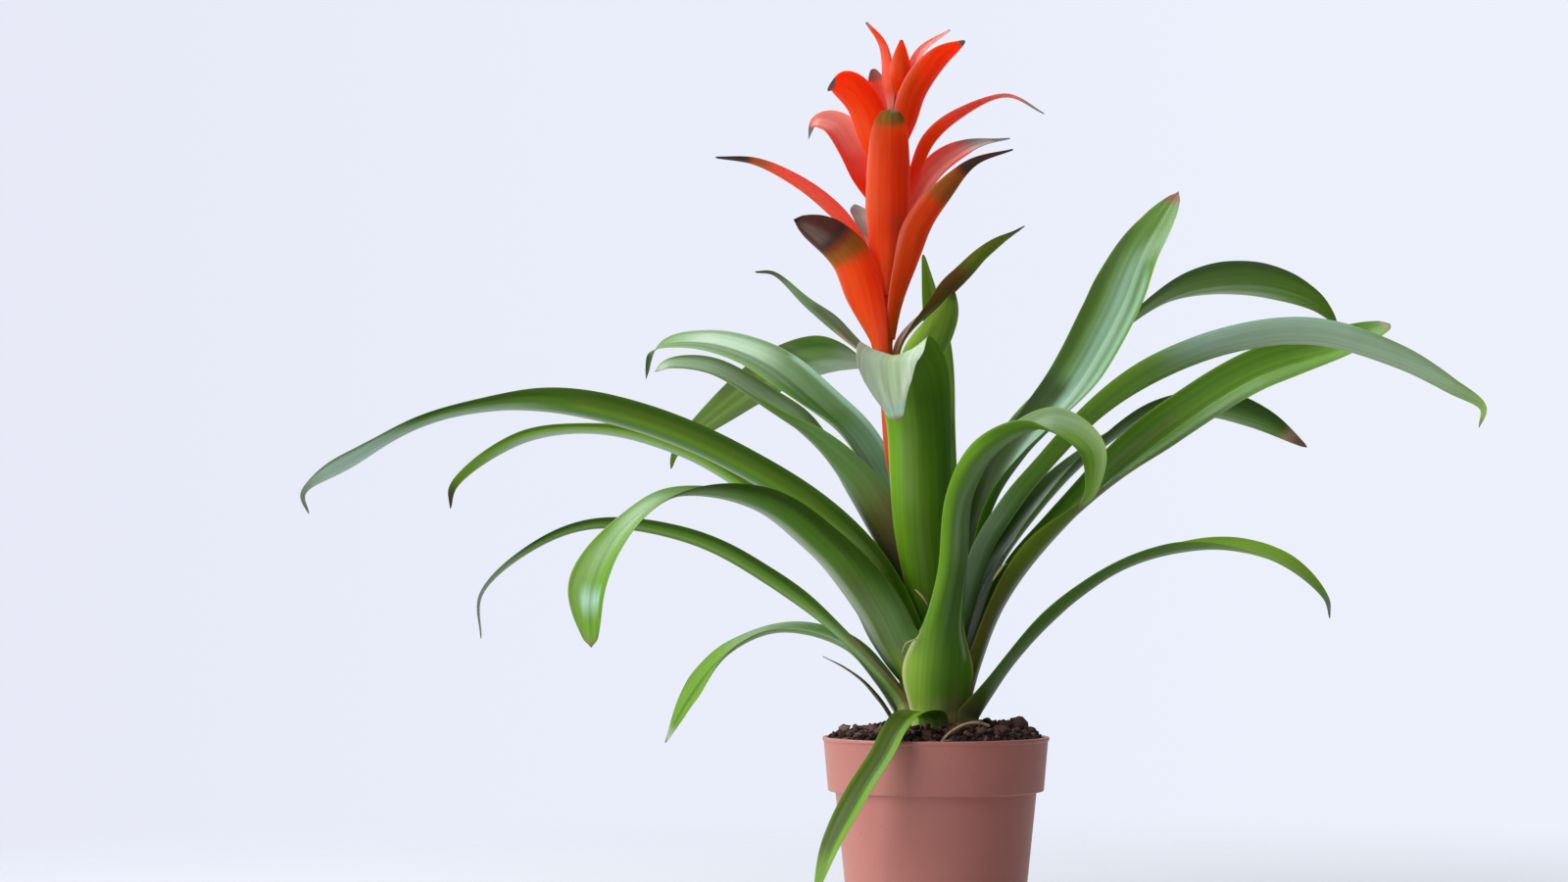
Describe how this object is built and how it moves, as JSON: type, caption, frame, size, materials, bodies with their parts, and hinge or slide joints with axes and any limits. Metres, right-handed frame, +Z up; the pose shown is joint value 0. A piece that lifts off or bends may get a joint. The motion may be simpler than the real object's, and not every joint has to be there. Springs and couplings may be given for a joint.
{
  "type": "potted bromeliad",
  "caption": "Flowering bromeliad in a round nursery pot: a funnel rosette of arching strap leaves round a stem of red bracts.",
  "frame": {"origin": "middle of the pot's underside, on the plane that the plant stands on", "axes": "+Z up along the pot, +X to the right and -Y to the front of the plant as pictured"},
  "size_m": [0.6116, 0.3657, 0.4874],
  "materials": {
    "pot_plastic": "satin terracotta-pink moulded plastic",
    "soil": "loose peat, no sheen",
    "stem_green": "smooth plant stem, green-brown to red",
    "leaf_green": "smooth leathery leaf with a soft gloss",
    "dry_leaf": "dry papery leaf",
    "green_bract": "smooth leathery bract, olive to brown",
    "red_bract": "smooth leathery bract, orange-red"
  },
  "bodies": {
    "root": {"pot": "pot_plastic", "soil": "soil", "stem": "stem_green", "leaf_01_over_rim": "leaf_green", "leaf_02_dry": "dry_leaf", "leaf_03_low_right": "leaf_green", "leaf_04_low_back_left": "leaf_green", "leaf_05_low_back": "leaf_green", "leaf_06_low_left": "leaf_green", "leaf_07_front_right": "leaf_green", "leaf_08_right": "leaf_green", "leaf_09_behind_left": "leaf_green", "leaf_10_behind_right": "leaf_green", "leaf_11_front_left": "leaf_green", "leaf_12_back": "leaf_green", "leaf_13_long_left": "leaf_green", "leaf_14_long_right": "leaf_green", "leaf_15_left": "leaf_green", "leaf_16_back_right": "leaf_green", "leaf_17_front": "leaf_green", "leaf_18_upper_left": "leaf_green", "leaf_19_upright_right": "leaf_green", "leaf_20_upright_back": "leaf_green", "leaf_21_upper_back_left": "leaf_green", "bract_01_green_right": "green_bract", "bract_02_green_left": "green_bract", "bract_03_brown_right": "green_bract", "bract_04_dark_tip_left": "red_bract", "bract_05_back": "red_bract", "bract_06_front_right": "red_bract", "bract_07_long_left": "red_bract", "bract_08_grey_tip": "red_bract", "bract_09_front": "red_bract", "bract_10_pink_right": "red_bract", "bract_11_long_right": "red_bract", "bract_12_pink_left": "red_bract", "bract_13_upper_back": "red_bract", "bract_14_upper_left": "red_bract", "bract_15_upper_right": "red_bract", "bract_16_small_pink": "red_bract", "bract_17_top_back": "red_bract", "bract_18_top_left": "red_bract", "bract_19_top_right": "red_bract", "bract_20_top_front": "red_bract"}
  },
  "joints": []
}
